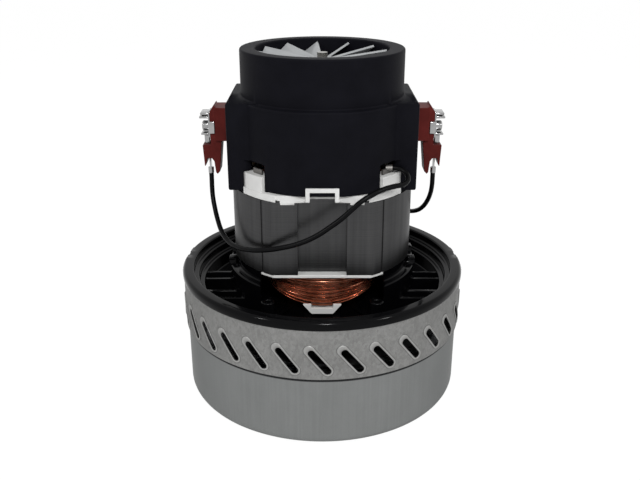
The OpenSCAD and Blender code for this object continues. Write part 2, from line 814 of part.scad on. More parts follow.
// Outside of the housing without its hollows
module housing_mass() {
    intersection() {
        translate([0, 0, house_z]) cylinder(r = body_r, h = body_h);
        translate([-body_r, -flat_y, house_z]) cube([2 * body_r, 2 * flat_y, body_h]);
    }
    translate([0, 0, step_z - house_wall]) cylinder(r = neck_r, h = neck_h + house_wall);
    translate([-box_x, -box_w / 2, house_z]) cube([2 * box_x, box_w, body_h + 0.3]);
}

// Feet under the brush boxes, inside the core's outline and a little past it
module box_feet() {
    translate([0, 0, core_top + drop_fit]) linear_extrude(flange_h) difference() {
        intersection() {
            core_outline(flange_r, core_x - 0.1, core_r);
            square([2 * core_r, box_w], center = true);
        }
        circle(r = body_in_r);
    }
    translate([0, 0, house_z - skirt_h]) linear_extrude(skirt_h + eps) difference() {
        square([2 * box_x, box_w], center = true);
        square([2 * (box_x - house_wall), box_w - 2 * house_wall], center = true);
        circle(r = body_in_r);
    }
}

module housing_hollow() {
    translate([0, 0, house_z - 1]) cylinder(r = body_in_r, h = body_h + 1 - house_wall);
    translate([0, 0, house_z - 1]) cylinder(r = neck_in_r, h = body_h + neck_h - house_wall);
    translate([house_wall - box_x, house_wall - box_w / 2, house_z - 1])
        cube([2 * (box_x - house_wall), box_w - 2 * house_wall, body_h + 1 - house_wall]);
    translate([0, 0, house_z]) cylinder(r = mouth_r, h = house_top);
}

module upper_housing() color(black_plastic) difference() {
    union() {
        difference() {
            housing_mass();
            housing_hollow();
        }
        box_feet();
        translate([0, 0, step_z + 2]) ring(mouth_r + shroud_t, mouth_r, neck_h - 2);
        translate([0, 0, top_hub_z]) cylinder(r = top_hub_r, h = top_hub_top - top_hub_z);
        for (a = [45 : 90 : 315]) rotate([0, 0, a])
            translate([top_brg_r + 1, -arm_w / 2, step_z])
                cube([neck_in_r + 1 - top_brg_r - 1, arm_w, top_hub_top - step_z]);
        at_bolts() translate([0, 0, house_z]) cylinder(r = bolt_boss_r - 0.5, h = bolt_grip + 2);
    }
    translate([0, 0, top_hub_z - 1])
        cylinder(r = top_brg_r + seat_fit, h = top_brg_top + wave_t - top_hub_z + 1);
    translate([0, 0, top_hub_z]) cylinder(r = top_shaft_r + 3.4, h = neck_h);
    at_bolts() translate([0, 0, core_top - 1])
        cylinder(r = bolt_r + seat_fit, h = house_z - core_top + bolt_grip + 1.5);
    at_towers() translate([0, 0, core_top])
        arc_block(body_in_r - 1, core_r + box_w / 4, tower_from - 0.4, tower_to + 0.4,
            tower_hole_top - core_top);
    translate([0, 0, brush_z])
        cube([4 * box_x, 2 * (plug_y + drop_fit), 2 * (plug_h + drop_fit)], center = true);
}

// Brush gear is drawn for the right side and turned half a turn for the left
module bar(from, to, half_y, low, high) {
    translate([from, -half_y, low]) cube([to - from, 2 * half_y, high - low]);
}

module side_view(half_y) {
    translate([box_x, half_y, brush_z]) rotate([90, 0, 0]) linear_extrude(2 * half_y) children();
}

module brush_holder() color(red_plastic) difference() {
    union() {
        bar(box_x - 11, box_x + eps, plug_y, brush_z - plug_h, brush_z + plug_h);
        bar(box_x + seat_fit, box_x + block_l, holder_y, brush_z - 8.1, brush_z + 8.1);
        side_view(plate_y) polygon([
            [block_l - eps, -10.6], [block_l - eps, 8.1], [block_l + 0.3, 9.4],
            [holder_l, 5.8], [holder_l, -10.6]]);
        side_view(plate_y) polygon([
            [4.6, -7.9], [block_l, -7.9], [block_l, -10.5], [14.1, -10.5], [13.5, -21.3], [12.8, -20.4],
            [12.2, -17.3], [9.8, -17.3], [8.8, -18.8], [8.2, -24.4], [7.4, -25.2], [6.2, -23.9]]);
    }
    bar(0, holder_end + 1, tube_y + seat_fit, brush_z - tube_h - seat_fit, brush_z + tube_h + seat_fit);
    bar(blade_x - drop_fit, blade_x + clip_t + drop_fit, blade_w / 2 + drop_fit, barrel_z - 2, brush_z - 9);
}

module brush_tube() color("goldenrod") difference() {
    bar(tube_from, tube_to, tube_y, brush_z - tube_h, brush_z + tube_h);
    bar(0, tube_to + 1, tube_y - tube_t, brush_z - tube_h + tube_t, brush_z + tube_h - tube_t);
}

module brush() color([0.16, 0.16, 0.17]) difference() {
    bar(comm_r / 2, brush_back, brush_w / 2, brush_z - brush_h / 2, brush_z + brush_h / 2);
    translate([0, 0, brush_z - brush_h]) cylinder(r = brush_x, h = 2 * brush_h);
}

module brush_spring() color(steel) swept_tube(spring_points, spring_wire / 2, 6, [0, 1, 0]);

// Folded spring clip with its screw, over the holder's end
module brush_clip() color(tin) {
    out = holder_end + 4.6;
    bar(holder_end, blade_x, 4.8, brush_z - 6.8, brush_z + 5.7);
    bar(holder_end, out, 4.2, brush_z + 4.4, brush_z + 5.2);
    bar(holder_end, out + 0.5, 4.6, brush_z + 2.5, brush_z + 3.4);
    bar(out - clip_t, out, 4.2, brush_z + 2.5, brush_z + 5.2);
    translate([holder_end + 2.4, 0, brush_z + 5]) cylinder(r = 1.6, h = 1.2);
    bar(holder_end, out - 0.6, 4.6, brush_z + 0.4, brush_z + 1.4);
    intersection() {
        translate([holder_end + 1.2, 0, brush_z - 4.6]) cylinder(r = 3, h = 5.2);
        bar(holder_end, out, 4.6, brush_z - 4.6, brush_z + 0.6);
    }
    bar(holder_end, out, 4.6, brush_z - 5.6, brush_z - 4.5);
    for (side = [-1, 1]) {
        translate([holder_end - 2.4, side * (plate_y + seat_fit + clip_t / 2) - clip_t / 2, brush_z - 4.8])
            cube([2.4 + clip_t, clip_t, 6.2]);
        translate([holder_end, side * 4.6 - 1.2, brush_z - 4.8]) cube([clip_t, 2.4, 6.2]);
    }
}

module lead_terminal() color(tin) {
    bar(blade_x, blade_x + clip_t, blade_w / 2, barrel_z + barrel_h - eps, brush_z - 5.8);
    bar(blade_x, blade_x + 2.6, blade_w / 2, brush_z - 10.3, brush_z - 6.4);
    translate([blade_x + clip_t / 2, 0, barrel_z]) cylinder(r = barrel_r, h = barrel_h);
}

module left_side() rotate([0, 0, 180]) children();

module tower_terminal() {
    rotate([0, 0, -tower_mid]) translate([pocket_r - terminal_t / 2, -terminal_w / 2, pocket_floor])
        cube([terminal_t, terminal_w, terminal_top - pocket_floor]);
}

// Crimp that holds the lead's end, on the two terminals that the leads reach
module coil_terminals() color(tin) for (side = [0, 180]) rotate([0, 0, side]) {
    lead_end = lead_route[len(lead_route) - 1];
    tower_terminal();
    translate(lead_end) rotate([0, -90, 0]) cylinder(r = crimp_r, h = crimp_l);
}

module supply_terminals() color(tin) for (side = [0, 180]) rotate([0, 0, side])
    mirror([1, 0, 0]) tower_terminal();

module lead_left() color([0.05, 0.05, 0.05]) swept_tube(lead_route, lead_d / 2, 8, [1, 0, 0]);
module lead_right() rotate([0, 0, 180]) lead_left();

// Ball bearing pieces, sized from the bearing's outer and inner radius
function race_t(outer, inner) = (outer - inner) * 0.3;
function ball_r(outer, inner) = (outer - inner) * 0.28;

module ball_groove(outer, inner, w) {
    translate([0, 0, w / 2]) rotate_extrude()
        translate([(outer + inner) / 2, 0]) circle(r = ball_r(outer, inner) + slide_fit);
}

module bearing_outer(outer, inner, w) color(steel) difference() {
    ring(outer, outer - race_t(outer, inner), w);
    ball_groove(outer, inner, w);
}

module bearing_inner(outer, inner, w) color(steel) difference() {
    ring(inner + race_t(outer, inner), inner + seat_fit, w);
    ball_groove(outer, inner, w);
}

module bearing_balls(outer, inner, w) color("silver") translate([0, 0, w / 2]) {
    mid = (outer + inner) / 2;
    translate([0, 0, -1.2]) ring(mid + 0.5, mid - 0.5, 2.4);
    for (i = [0 : 6]) rotate([0, 0, i * 360 / 7]) translate([mid, 0, 0]) sphere(r = ball_r(outer, inner));
}

module lower_bearing_outer() translate([0, 0, low_brg_z]) bearing_outer(low_brg_r, shaft_r, low_brg_w);
module lower_bearing_inner() translate([0, 0, low_brg_z]) bearing_inner(low_brg_r, shaft_r, low_brg_w);
module lower_bearing_balls() translate([0, 0, low_brg_z]) bearing_balls(low_brg_r, shaft_r, low_brg_w);
module upper_bearing_outer() translate([0, 0, top_brg_z]) bearing_outer(top_brg_r, top_shaft_r, top_brg_w);
module upper_bearing_inner() translate([0, 0, top_brg_z]) bearing_inner(top_brg_r, top_shaft_r, top_brg_w);
module upper_bearing_balls() translate([0, 0, top_brg_z]) bearing_balls(top_brg_r, top_shaft_r, top_brg_w);

module bearing_retainer() color(steel) translate([0, 0, low_brg_top]) difference() {
    ring(retainer_r, low_brg_r - race_t(low_brg_r, shaft_r), retainer_t);
    at_retainer_screws() translate([0, 0, -1]) cylinder(r = small_screw_r + drop_fit, h = retainer_t + 2);
}

module retainer_screws() color(steel) at_retainer_screws() {
    translate([0, 0, low_brg_top + retainer_t]) cylinder(r = 2 * small_screw_r, h = 1.4);
    translate([0, 0, low_brg_top - 5]) cylinder(r = small_screw_r, h = retainer_t + 5 + eps);
}

module shaft_seal() color([0.15, 0.15, 0.15]) translate([0, 0, hub_z])
    ring(seal_r, sleeve_r + 0.3, seal_h);

module wave_washer() color(steel) translate([0, 0, top_brg_top])
    ring(top_brg_r - 0.2, top_brg_r - race_t(top_brg_r, top_shaft_r), wave_t - seat_fit);

module rotor_shaft() color(steel) {
    translate([0, 0, shaft_end_z]) cylinder(r = shaft_r, h = top_brg_z - shaft_end_z);
    translate([0, 0, low_brg_top]) cylinder(r = mid_shaft_r, h = top_brg_z - low_brg_top);
    translate([0, 0, top_brg_z - eps]) cylinder(r = top_shaft_r, h = top_brg_w + eps);
    translate([0, 0, top_brg_top - eps]) cylinder(r = stub_r, h = shaft_top - top_brg_top + eps);
}

module armature_slots() {
    for (i = [0 : 11]) rotate(i * 30) {
        translate([end_turn_r - 5, 0]) circle(r = 2.6);
        translate([end_turn_r - 5, -0.8]) square([arm_r, 1.6]);
    }
}

module armature_core() color(lamination) translate([0, 0, core_z]) linear_extrude(core_h) difference() {
    circle(r = arm_r);
    circle(r = mid_shaft_r + seat_fit);
    armature_slots();
}

// Wire in the slots with a rounded bundle at each end
module armature_winding() color(copper) {
    for (z = [core_z - end_turn_h, core_top]) translate([0, 0, z]) rotate_extrude() {
        translate([mid_shaft_r + 1.5, 0]) square([end_turn_r - mid_shaft_r - 4.5, end_turn_h]);
        translate([mid_shaft_r + 4.5, 3]) square([end_turn_r - mid_shaft_r - 4.5, end_turn_h - 6]);
        for (h = [3, end_turn_h - 3]) translate([end_turn_r - 3, h]) circle(r = 3);
    }
    translate([0, 0, core_z - eps]) linear_extrude(core_h + 2 * eps)
        for (i = [0 : 11]) rotate(i * 30) translate([end_turn_r - 5, 0]) circle(r = 2.45);
}

module commutator() color(copper) difference() {
    union() {
        translate([0, 0, comm_z]) cylinder(r = comm_r, h = comm_top - comm_z);
        translate([0, 0, comm_z - riser_t]) cylinder(r = comm_r + 2, h = riser_t);
    }
    translate([0, 0, comm_z - riser_t - 1])
        cylinder(r = mid_shaft_r + seat_fit, h = comm_top - comm_z + riser_t + 2);
    for (i = [0 : 23]) rotate([0, 0, i * 15]) translate([comm_r - 0.8, -0.25, comm_z - riser_t - 1])
        cube([5, 0.5, comm_top - comm_z + riser_t + 2]);
}

module cooling_fan() color(white_plastic) {
    rotate_extrude() polygon([
        [stub_r + seat_fit, fan_z], [7, fan_z], [7, fan_hub_top - 5.5], [fan_hub_r, fan_hub_top - 4],
        [fan_hub_r, fan_hub_top - 2.6], [6, fan_hub_top], [stub_r + seat_fit, fan_hub_top]]);
    intersection() {
        for (i = [0 : blade_count - 1]) rotate([0, 0, 94.5 + i * 360 / blade_count])
            translate([0, 0, fan_hub_top - 0.7]) rotate([0, -blade_tilt, 0]) rotate([-blade_pitch, 0, 0])
                translate([6, 0, -blade_t]) cube([fan_r, blade_chord, blade_t]);
        translate([0, 0, fan_z]) cylinder(r = fan_r, h = fan_top - fan_z);
    }
}

module fan_spacer() color(steel) translate([0, 0, top_brg_top])
    ring(top_shaft_r + 1.4, stub_r + seat_fit, fan_z - top_brg_top);

module first_impeller() translate([0, 0, imp1_z]) impeller();
module second_impeller() translate([0, 0, imp2_z]) impeller();

module impeller_spacer() color(steel) translate([0, 0, hub1_z + disc_t + washer_t])
    ring(sleeve_r, shaft_r + seat_fit, hub2_z - hub1_z - disc_t - 2 * washer_t);

module bearing_spacer() color(steel) translate([0, 0, hub2_z + disc_t + washer_t])
    ring(sleeve_r, shaft_r + seat_fit, low_brg_z - hub2_z - disc_t - washer_t);

module clamp_washers() color(steel)
    for (z = [hub1_z - washer_t, hub1_z + disc_t, hub2_z - washer_t, hub2_z + disc_t])
        translate([0, 0, z]) ring(washer_r, shaft_r + seat_fit, washer_t);

module impeller_nut() color(steel) translate([0, 0, nut_z]) difference() {
    cylinder(r = 2 * shaft_r, h = nut_h, $fn = 6);
    translate([0, 0, -1]) cylinder(r = shaft_r + seat_fit, h = nut_h + 2);
}

lower_can();
slotted_ring();
return_guide();
diffuser_plate();
diffuser_screws();
fan_end_bracket();
stator_core();
lower_insulator();
upper_insulator();
field_coil_front();
field_coil_rear();
motor_bolts();
upper_housing();
left_side() brush_holder();  // brush_holder_left
brush_holder();  // brush_holder_right
left_side() brush_tube();  // brush_tube_left
brush_tube();  // brush_tube_right
left_side() brush();  // brush_left
brush();  // brush_right
left_side() brush_spring();  // brush_spring_left
brush_spring();  // brush_spring_right
left_side() brush_clip();  // brush_clip_left
brush_clip();  // brush_clip_right
left_side() lead_terminal();  // lead_terminal_left
lead_terminal();  // lead_terminal_right
coil_terminals();
supply_terminals();
lead_left();
lead_right();
lower_bearing_outer();
lower_bearing_inner();
lower_bearing_balls();
upper_bearing_outer();
upper_bearing_inner();
upper_bearing_balls();
bearing_retainer();
retainer_screws();
shaft_seal();
wave_washer();
rotor_shaft();
armature_core();
armature_winding();
commutator();
cooling_fan();
fan_spacer();
first_impeller();
second_impeller();
impeller_spacer();
bearing_spacer();
clamp_washers();
impeller_nut();
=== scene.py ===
import bpy
import json
import math
import random
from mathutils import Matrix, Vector

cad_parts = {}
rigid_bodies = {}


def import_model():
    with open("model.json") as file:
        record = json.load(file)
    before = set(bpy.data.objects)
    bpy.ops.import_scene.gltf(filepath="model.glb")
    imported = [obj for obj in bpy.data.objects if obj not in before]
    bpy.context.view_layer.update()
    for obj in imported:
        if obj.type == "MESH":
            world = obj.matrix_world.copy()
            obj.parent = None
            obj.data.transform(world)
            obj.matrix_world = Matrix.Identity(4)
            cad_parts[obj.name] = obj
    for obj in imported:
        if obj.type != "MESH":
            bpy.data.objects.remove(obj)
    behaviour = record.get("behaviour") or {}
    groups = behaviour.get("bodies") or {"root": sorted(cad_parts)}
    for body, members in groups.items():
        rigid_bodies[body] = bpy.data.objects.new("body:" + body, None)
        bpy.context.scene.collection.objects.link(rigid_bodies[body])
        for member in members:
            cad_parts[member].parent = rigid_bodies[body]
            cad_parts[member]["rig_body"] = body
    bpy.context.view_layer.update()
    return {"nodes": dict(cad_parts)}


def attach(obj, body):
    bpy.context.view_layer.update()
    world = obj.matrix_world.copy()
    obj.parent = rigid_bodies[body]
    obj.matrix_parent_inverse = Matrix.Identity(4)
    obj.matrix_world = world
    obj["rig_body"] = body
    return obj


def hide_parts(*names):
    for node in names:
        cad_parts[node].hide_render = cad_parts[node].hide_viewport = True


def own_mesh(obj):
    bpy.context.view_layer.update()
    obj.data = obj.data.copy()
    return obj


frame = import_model()
scene = bpy.context.scene
scene.view_settings.view_transform = "Standard"
mm = 0.001
tiny = 1e-7                                 # metres, nearer than this counts as touching


# Small helpers for working by hand in object and edit mode

def pick(*items):
    if bpy.context.object and bpy.context.object.mode != "OBJECT":
        bpy.ops.object.mode_set(mode="OBJECT")
    bpy.ops.object.select_all(action="DESELECT")
    for item in items:
        item.select_set(True)
    bpy.context.view_layer.objects.active = items[-1] if items else None


def edit(item, kind="VERT"):
    pick(item)
    bpy.ops.object.mode_set(mode="EDIT")
    bpy.ops.mesh.select_mode(type=kind)


def leave():
    bpy.ops.object.mode_set(mode="OBJECT")


def applyModifiers(item):
    pick(item)
    for name in [m.name for m in item.modifiers]:
        bpy.ops.object.modifier_apply(modifier=name)


def smooth(item, angle):
    pick(item)
    bpy.ops.object.shade_smooth_by_angle(angle=math.radians(angle))


def settle(item):                           # place into the mesh, object back to the origin
    pick(item)
    bpy.ops.object.transform_apply(location=True, rotation=True, scale=True)


def joined(name, items):
    pick(*items)
    bpy.ops.object.join()
    whole = bpy.context.object
    whole.name = name
    whole.data.name = name
    return whole


def merged(item, reach):                    # leaves the item in edit mode, all selected
    edit(item)
    bpy.ops.mesh.select_all(action="SELECT")
    bpy.ops.mesh.remove_doubles(threshold=reach * mm)


def outwards(item, reach=0.01):
    merged(item, reach)
    bpy.ops.mesh.normals_make_consistent(inside=False)
    leave()


def roundWire(name, diameter, roundness):   # an empty curve that draws as round wire
    line = bpy.data.curves.new(name, "CURVE")
    line.dimensions = "3D"
    line.bevel_depth = diameter / 2 * mm
    line.bevel_resolution = roundness
    line.use_fill_caps = True
    return line


def placed(name, line):
    item = bpy.data.objects.new(name, line)
    scene.collection.objects.link(item)
    return item


def wireMesh(name, points, diameter, roundness):    # stiff wire through points in millimetres
    line = roundWire(name, diameter, roundness)
    run = line.splines.new("POLY")
    run.points.add(len(points) - 1)
    for knot, (x, y, z) in zip(run.points, points):
        knot.co = (x * mm, y * mm, z * mm, 1)
    pick(placed(name, line))
    bpy.ops.object.convert(target="MESH")
    wire = bpy.context.object
    smooth(wire, 60)
    return wire


def finished(item, finish, body, slot, *nodes):
    item.data.materials.clear()
    item.data.materials.append(finish)
    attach(item, body)
    if nodes:
        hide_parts(*nodes)
    return item


# Shader maths: a Tone is a socket that takes plain arithmetic

class Tone:
    def __init__(self, tree, out):
        self.tree = tree
        self.out = out

    def math(self, how, *terms):
        knot = self.tree.nodes.new("ShaderNodeMath")
        knot.operation = how
        for place, term in enumerate(terms):
            if isinstance(term, Tone):
                self.tree.links.new(term.out, knot.inputs[place])
            else:
                knot.inputs[place].default_value = term
        return Tone(self.tree, knot.outputs[0])

    def __add__(self, other):
        return self.math("ADD", self, other)

    def __radd__(self, other):
        return self.math("ADD", other, self)

    def __sub__(self, other):
        return self.math("SUBTRACT", self, other)

    def __rsub__(self, other):
        return self.math("SUBTRACT", other, self)

    def __mul__(self, other):
        return self.math("MULTIPLY", self, other)

    def __rmul__(self, other):
        return self.math("MULTIPLY", other, self)

    def __truediv__(self, other):
        return self.math("DIVIDE", self, other)

    def __rtruediv__(self, other):
        return self.math("DIVIDE", other, self)

    def between(self, low, high):           # 0 below low, 1 above high
        share = (self - low) / (high - low)
        return share.math("MINIMUM", share.math("MAXIMUM", share, 0), 1)


class Finish:
    def __init__(self, name, fixed):
        self.mat = bpy.data.materials.new(name)
        self.mat.use_nodes = True
        self.tree = self.mat.node_tree
        self.skin = self.tree.nodes["Principled BSDF"]
        self.place = self.add("ShaderNodeTexCoord", {}, {}, "Object")
        for key, value in fixed.items():
            self.skin.inputs[key].default_value = value

    def add(self, kind, settings, sockets, out=0):
        knot = self.tree.nodes.new(kind)
        for key, value in settings.items():
            setattr(knot, key, value)
        for key, value in sockets.items():
            self.link(value, knot.inputs[key])
        return Tone(self.tree, knot.outputs[out])

    def link(self, value, socket):
        if isinstance(value, Tone):
            self.tree.links.new(value.out, socket)
        else:
            socket.default_value = value

    def set(self, name, value):
        self.link(value, self.skin.inputs[name])

    def stretched(self, x, y, z):
        return self.add("ShaderNodeVectorMath", {"operation": "MULTIPLY"}, {0: self.place, 1: (x, y, z)})

    def noise(self, scale, detail=3, rough=0.55, spread=(1, 1, 1)):
        return self.add("ShaderNodeTexNoise", {}, {
            "Vector": self.stretched(*spread), "Scale": scale, "Detail": detail, "Roughness": rough})

    def cells(self, scale, spread):         # one colour for each cell
        return self.add("ShaderNodeTexVoronoi", {}, {
            "Vector": self.stretched(*spread), "Scale": scale}, "Color")

    def mix(self, share, first, second):    # sockets 0, 6 and 7 are the factor and the two colours
        return self.add("ShaderNodeMix", {"data_type": "RGBA"}, {
            0: share, 6: first if isinstance(first, Tone) else (*first, 1),
            7: second if isinstance(second, Tone) else (*second, 1)}, 2)

    def clouded(self, share, dark, light, low=0.3, high=0.7):
        return self.mix(share.between(low, high), dark, light)

    def bump(self, height, strength, depth):
        self.set("Normal", self.add("ShaderNodeBump", {}, {
            "Height": height, "Strength": strength, "Distance": depth}))


# Camera, white studio and lamps

studio = {
    "cameraPlace": (-0.00106, -0.37246, 0.22589),
    "cameraTilt": 68.085,
    "lens": 43.58,
    "sensor": 36,
    "nearest": 0.01,                        # where the camera starts to see
    "floorSize": 8,
    "floorDrop": 0.0002,                    # keeps the floor clear of the can's underside
    "floorGrey": 0.86,
    "floorRough": 0.9,
    "floorGlow": 1.06,
    "glowShare": 0.9,                       # the rest of the floor keeps the shadow
    "worldLight": 0.45,
    "lampAim": (0, 0, 0.08),
    "lamps": [
        # name, place, size, watts
        ("frontSoftbox", (0.05, -0.8, 0.72), 0.12, 3.8),
        ("leftSoftbox", (-0.6, -0.5, 0.6), 0.1, 1.3),
        ("rightSoftbox", (0.62, -0.48, 0.6), 0.1, 1.5),
        ("topSoftbox", (0.05, 0.28, 0.85), 0.15, 1.2),
    ],
}


def seenRays(camera):                       # 1 for rays that meet the eye, a mirror or glass
    path = camera.out.node.outputs
    seen = camera
    for kind in ("Is Glossy Ray", "Is Transmission Ray"):
        seen = seen.math("MAXIMUM", seen, Tone(camera.tree, path[kind]))
    return seen


def makeCamera():
    bpy.ops.object.camera_add(
        location=studio["cameraPlace"], rotation=(math.radians(studio["cameraTilt"]), 0, 0))
    camera = bpy.context.object
    camera.name = "photoCamera"
    camera.data.sensor_fit = "HORIZONTAL"
    camera.data.sensor_width = studio["sensor"]
    camera.data.lens = studio["lens"]
    camera.data.clip_start = studio["nearest"]
    scene.camera = camera


def makeLamps():
    for name, place, size, watts in studio["lamps"]:
        bpy.ops.object.light_add(type="AREA", location=place)
        lamp = bpy.context.object
        lamp.name = name
        lamp.data.shape = "DISK"
        lamp.data.size = size
        lamp.data.energy = watts
        aim = Vector(studio["lampAim"]) - Vector(place)
        lamp.rotation_euler = aim.to_track_quat("-Z", "Y").to_euler()


def makeFloor():
    bpy.ops.mesh.primitive_plane_add(size=studio["floorSize"], location=(0, 0, -studio["floorDrop"]))
    floor = bpy.context.object
    floor.name = "studioFloor"
    settle(floor)
    grey = studio["floorGrey"]
    paper = Finish("whitePaper", {"Roughness": studio["floorRough"], "Base Color": (grey, grey, grey, 1)})
    rays = paper.add("ShaderNodeLightPath", {}, {}, "Is Camera Ray")
    glow = paper.add("ShaderNodeEmission", {}, {"Color": (1, 1, 1, 1), "Strength": studio["floorGlow"]})
    blended = paper.add("ShaderNodeMixShader", {}, {
        0: seenRays(rays) * studio["glowShare"], 1: Tone(paper.tree, paper.skin.outputs[0]), 2: glow})
    paper.link(blended, paper.tree.nodes["Material Output"].inputs["Surface"])
    floor.data.materials.append(paper.mat)


def makeAir():                              # white where it is seen, softer where it only lights
    world = bpy.data.worlds.new("studioAir")
    scene.world = world
    world.use_nodes = True
    tree = world.node_tree
    air = tree.nodes["Background"]
    air.inputs["Color"].default_value = (1, 1, 1, 1)
    path = tree.nodes.new("ShaderNodeLightPath")
    seen = seenRays(Tone(tree, path.outputs["Is Camera Ray"]))
    strength = seen * (1 - studio["worldLight"]) + studio["worldLight"]
    tree.links.new(strength.out, air.inputs["Strength"])


makeCamera()
makeLamps()
makeFloor()
makeAir()
print("studio ready")


# Finishes

sheets = {
    "metallic": 0.8,
    "tint": (0.45, 0.45, 0.45, 1),
    "seam": 36.6,                           # height of the ring's lower edge
    "seamShadowFrom": 1.9, "seamShadowFull": 1.5,     # painted shadow under the ring: starts this far below the seam, full from this far below
    # colour of the painted shadow, and how much less metallic and rougher it is
    "seamShadowShade": (0.012, 0.012, 0.013),
    "seamShadowDulls": 0.6, "seamShadowRoughens": 0.4,
    "face": 71.45, "proud": 0.5,            # radius of the ring's face, height of its slots' borders
    # colour of the painted shade round the borders' foot
    "footPaintedShade": (0.03, 0.03, 0.03),
    # shares of the painted shade at the borders' foot and of the painted highlight on their tops
    "footShare": 0.55, "highlightShare": 0.5,
}


def zincSheet(name):
    f = Finish(name, {"Metallic": sheets["metallic"], "Specular Tint": sheets["tint"]})
    return f, f.noise(60, detail=4, rough=0.6)


def zincShade(f, share, dark, light):
    return f.clouded(share, dark, light, low=0.32, high=0.68)


def drawnSheet(name, light, dark):          # dull streaks from the drawing die, painted shadow in a band under the ring's lower edge
    s = sheets
    f, cloud = zincSheet(name)
    drawn = f.noise(1, detail=4, rough=0.6, spread=(900, 900, 22))
    grit = f.noise(2600, detail=2, rough=0.7)
    height = f.add("ShaderNodeSeparateXYZ", {}, {0: f.place}, "Z") / mm
    # painted shadow in a band under the ring's overhanging lower edge
    seamShadow = height.between(s["seam"] - s["seamShadowFrom"], s["seam"] - s["seamShadowFull"])
    unshadedSheet = zincShade(f, cloud * 0.3 + drawn * 0.4 + grit * 0.3, dark, light)
    f.set("Base Color", f.mix(seamShadow, unshadedSheet, s["seamShadowShade"]))
    f.set("Roughness", 0.3 + drawn * 0.16 + cloud * 0.08 + seamShadow * s["seamShadowRoughens"])
    f.set("Metallic", s["metallic"] - seamShadow * s["seamShadowDulls"])
    f.bump(drawn * 0.6 + grit * 0.4, strength=0.12, depth=0.0002)
    return f.mat


def spangledSheet(name, light, dark, highlightTone):    # fine zinc flowers, painted highlight on the tops of the raised borders, painted shade round their foot
    s = sheets
    f, cloud = zincSheet(name)
    flowers = f.add("ShaderNodeRGBToBW", {}, {0: f.cells(900, (1, 1, 0.7))})
    grit = f.noise(2400, detail=2, rough=0.7)
    out = f.add("ShaderNodeVectorMath", {"operation": "LENGTH"}, {0: f.stretched(1, 1, 0)}, "Value") / mm

    def raised(low, high):                  # shares of the border's height
        return out.between(s["face"] + s["proud"] * low, s["face"] + s["proud"] * high)

    # painted highlight along the tops of the raised borders, also less rough there
    paintedHighlight = raised(0.5, 0.9)
    # painted shade in the crease round each border's foot
    foot = raised(0.02, 0.2) * (1 - raised(0.3, 0.6))
    face = zincShade(f, cloud * 0.3 + flowers * 0.25 + grit * 0.45, dark, light)
    skin = f.mix(foot * s["footShare"], face, s["footPaintedShade"])
    f.set("Base Color", f.mix(paintedHighlight * s["highlightShare"], skin, highlightTone))
    f.set("Roughness", 0.34 + flowers * 0.12 + cloud * 0.1 - paintedHighlight * 0.1)
    f.bump(flowers * 0.2 + grit * 0.8, strength=0.16, depth=0.0002)
    return f.mat


def mouldedPlastic(name, shade, rough, grain, relief, mottled=0.15, shine=0.5):
    f = Finish(name, {"Specular IOR Level": shine})
    cloud = f.noise(90)
    fine = f.noise(grain, detail=2)
    dark = tuple(c * (1 - mottled) for c in shade)
    light = tuple(c * (1 + mottled) for c in shade)
    f.set("Base Color", f.clouded(cloud, dark, light))
    f.set("Roughness", rough - 0.05 + cloud * 0.1)
    f.bump(fine, relief, depth=0.0001)
    return f.mat


def plainMetal(name, shade, rough, spread=(1, 1, 1), grain=500):
    f = Finish(name, {"Metallic": 1.0})
    rub = f.noise(grain, rough=0.6, spread=spread)
    cloud = f.noise(120)
    dark = tuple(c * 0.78 for c in shade)
    f.set("Base Color", f.clouded(rub * 0.5 + cloud * 0.5, dark, shade))
    f.set("Roughness", rough - 0.06 + rub * 0.14)
    f.bump(rub, strength=0.06, depth=0.0001)
    return f.mat


def laminatedSteel(name, dark, light):      # thin sheets one above the other, streaked upwards
    f = Finish(name, {"Metallic": 1.0, "Specular Tint": (0.65, 0.65, 0.65, 1)})
    layers = f.noise(1, detail=1, rough=0.5, spread=(3, 3, 2600))
    streak = f.noise(1, detail=4, rough=0.65, spread=(260, 260, 6))
    cloud = f.noise(70)
    f.set("Base Color", f.clouded(streak * 0.5 + layers * 0.3 + cloud * 0.2, dark, light))
    f.set("Roughness", 0.24 + layers * 0.14)
    f.bump(layers * 0.6 + streak * 0.4, strength=0.16, depth=0.0002)
    return f.mat


def enamelledCopper(name, dark, light):
    f = Finish(name, {"Metallic": 0.9, "Coat Weight": 0.3, "Coat Roughness": 0.06})
    tone = f.noise(220, detail=4, rough=0.6)
    f.set("Base Color", f.clouded(tone, dark, light))
    f.set("Roughness", 0.14 + tone * 0.12)
    return f.mat


